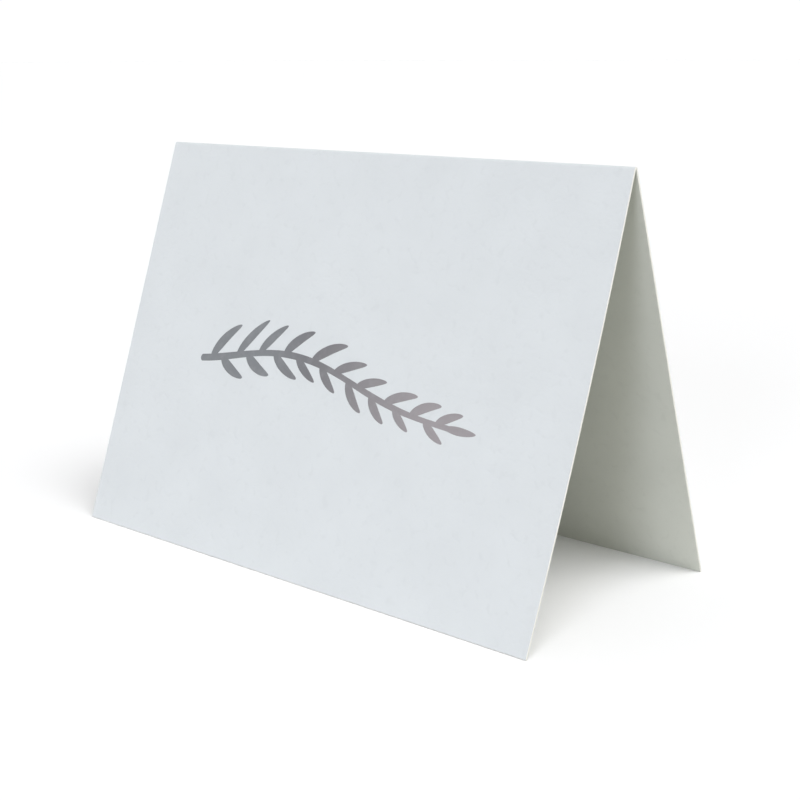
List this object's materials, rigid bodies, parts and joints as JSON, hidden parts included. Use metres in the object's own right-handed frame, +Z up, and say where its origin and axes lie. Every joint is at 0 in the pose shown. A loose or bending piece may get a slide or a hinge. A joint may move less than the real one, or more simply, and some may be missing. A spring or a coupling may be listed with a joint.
{
  "type": "greeting card",
  "caption": "Plain tent-fold greeting card of stout textured board, creased along the top and standing on its lower edges.",
  "frame": {"origin": "the point on the ground below the middle of the fold, which is the centre of the bottom of the bounding box", "axes": "+X runs along the fold, to the right as the front panel is faced; the front panel faces -Y and the back panel +Y; +Z is up"},
  "size_m": [0.148, 0.071, 0.0991],
  "materials": {
    "card_board": "matte, felt-marked",
    "silver_ink": "satin"
  },
  "bodies": {
    "root": {"folded_card": "card_board"}
  },
  "joints": []
}
